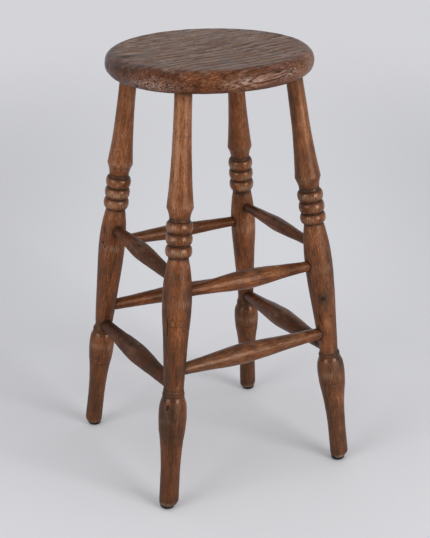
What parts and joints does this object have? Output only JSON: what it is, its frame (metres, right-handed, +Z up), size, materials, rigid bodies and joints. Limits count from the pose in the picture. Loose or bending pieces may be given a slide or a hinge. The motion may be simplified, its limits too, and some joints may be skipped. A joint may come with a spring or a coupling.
{
  "type": "stool",
  "caption": "Tall round-seat stool with splayed turned legs joined by two tiers of turned stretchers.",
  "frame": {"origin": "on the floor, under the middle of the round seat", "axes": "+Z up; -Y towards the front pair of stretchers; +X to the right seen from the front"},
  "size_m": [0.3524, 0.3481, 0.69],
  "materials": {
    "seat_elm": "worn wax",
    "leg_wood": "satin wax",
    "stretcher_wood": "satin wax",
    "glide": "dull black",
    "nail_steel": "plain"
  },
  "bodies": {
    "root": {"seat": "seat_elm", "leg_front_left": "leg_wood", "leg_front_right": "leg_wood", "leg_back_left": "leg_wood", "leg_back_right": "leg_wood", "stretcher_left_upper": "stretcher_wood", "stretcher_left_lower": "stretcher_wood", "stretcher_right_upper": "stretcher_wood", "stretcher_right_lower": "stretcher_wood", "stretcher_front_upper": "stretcher_wood", "stretcher_front_lower": "stretcher_wood", "stretcher_back_upper": "stretcher_wood", "stretcher_back_lower": "stretcher_wood", "glide_front_left": "glide", "glide_front_right": "glide", "glide_back_left": "glide", "glide_back_right": "glide", "glide_nail_front_left": "nail_steel", "glide_nail_front_right": "nail_steel", "glide_nail_back_left": "nail_steel", "glide_nail_back_right": "nail_steel"}
  },
  "joints": []
}
